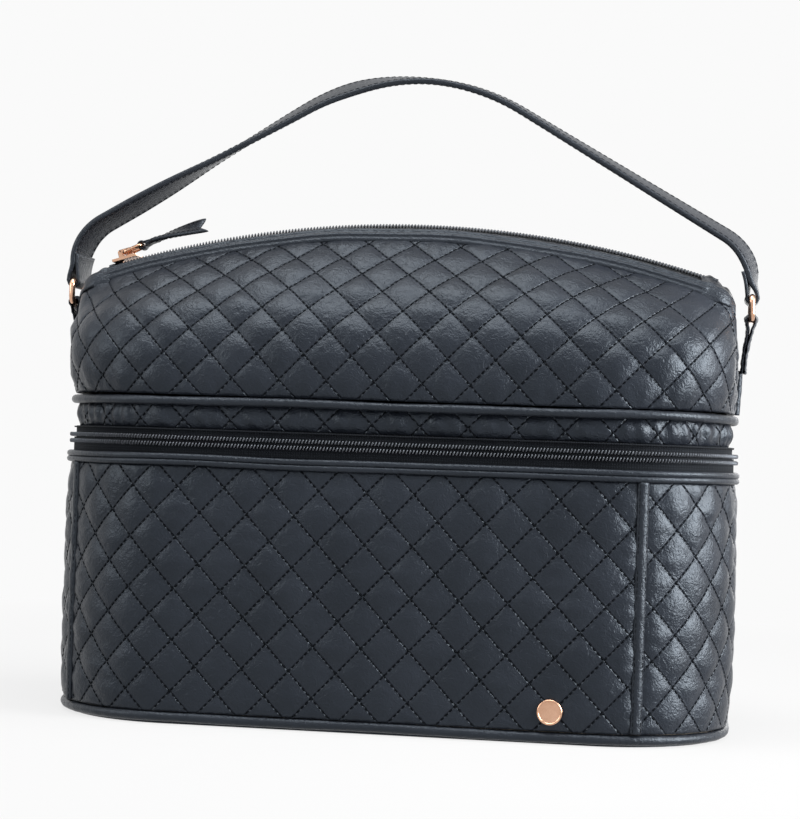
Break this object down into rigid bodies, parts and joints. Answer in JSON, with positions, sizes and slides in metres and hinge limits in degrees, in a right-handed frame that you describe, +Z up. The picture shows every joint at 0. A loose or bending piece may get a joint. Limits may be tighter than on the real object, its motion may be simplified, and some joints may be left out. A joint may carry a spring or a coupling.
{
  "type": "makeup train case",
  "caption": "Soft-sided makeup train case: quilted lower box, zipped lid with an arched soft upper bag on it, its own top zip and a flat carry strap on rings.",
  "frame": {"origin": "centre of the base, on the surface that the case stands on", "axes": "+Z up, +X to the right seen from the front, the front faces -Y"},
  "size_m": [0.3218, 0.1432, 0.2954],
  "materials": {
    "quilted_leather": "satin",
    "trim_leather": "satin",
    "strap_leather": "satin",
    "zip_tape": "matte",
    "zip_coil": "satin",
    "rose_gold": "polished",
    "lining": "matte",
    "stiff_board": "matte"
  },
  "bodies": {
    "lower_case": {"base_cover": "trim_leather", "bottom_piping": "trim_leather", "base_board": "stiff_board", "lower_front_panel": "quilted_leather", "lower_back_panel": "quilted_leather", "lower_left_panel": "quilted_leather", "lower_right_panel": "quilted_leather", "wall_stiffener": "stiff_board", "lower_lining": "lining", "rim_piping": "trim_leather", "lower_zip_tape": "zip_tape", "lower_zip_row": "zip_coil", "lower_zip_stops": "zip_coil", "lower_hinge_leaf": "zip_tape", "front_stud": "rose_gold", "front_left_seam_strip": "trim_leather", "front_right_seam_strip": "trim_leather", "back_left_seam_strip": "trim_leather", "back_right_seam_strip": "trim_leather"},
    "upper_bag": {"upper_zip_tape": "zip_tape", "upper_zip_row": "zip_coil", "upper_zip_stops": "zip_coil", "upper_hinge_leaf": "zip_tape", "gathered_band": "quilted_leather", "upper_piping": "trim_leather", "lid_board": "stiff_board", "lid_lining": "lining", "bag_floor": "lining", "upper_front_panel": "quilted_leather", "upper_back_panel": "quilted_leather", "front_bag_lining": "lining", "back_bag_lining": "lining", "top_front_binding": "trim_leather", "top_back_binding": "trim_leather", "top_front_tape": "zip_tape", "top_back_tape": "zip_tape", "top_front_row": "zip_coil", "top_back_row": "zip_coil", "top_zip_stops": "zip_coil", "left_zip_end": "trim_leather", "right_zip_end": "trim_leather", "left_side_piping": "trim_leather", "right_side_piping": "trim_leather"},
    "strap": {"carry_strap": "strap_leather", "left_ring": "rose_gold", "right_ring": "rose_gold", "left_strap_tab": "strap_leather", "right_strap_tab": "strap_leather"},
    "top_slider": {"top_slider": "rose_gold"},
    "top_pull": {"top_bail": "rose_gold", "top_pull": "strap_leather"},
    "main_slider": {"main_slider": "rose_gold"},
    "main_pull": {"main_bail": "rose_gold", "main_pull": "strap_leather"}
  },
  "joints": [
    {"name": "lid_hinge", "type": "hinge", "parent": "lower_case", "child": "upper_bag", "pos_m": [0, 0.0686, 0.1236], "axis": [-1, 0, 0], "range_deg": [0, 105]},
    {"name": "strap_swing", "type": "hinge", "parent": "upper_bag", "child": "strap", "pos_m": [0, 0, 0.17], "axis": [1, 0, 0], "range_deg": [-60, 60]},
    {"name": "top_slider_run", "type": "hinge", "parent": "upper_bag", "child": "top_slider", "pos_m": [0, 0, -0.232], "axis": [0, 1, 0], "range_deg": [0, 29]},
    {"name": "top_pull_flip", "type": "hinge", "parent": "top_slider", "child": "top_pull", "pos_m": [-0.13481, 0, 0.21103], "axis": [0, -1, 0], "range_deg": [-5, 20]},
    {"name": "main_slider_run", "type": "hinge", "parent": "lower_case", "child": "main_slider", "pos_m": [-0.0925, 0.01, 0.1236], "axis": [0, 0, 1], "range_deg": [0, 44]},
    {"name": "main_pull_flip", "type": "hinge", "parent": "main_slider", "child": "main_pull", "pos_m": [-0.13138, 0.06159, 0.1236], "axis": [0.7986, 0.6018, 0], "range_deg": [0, 80]}
  ]
}
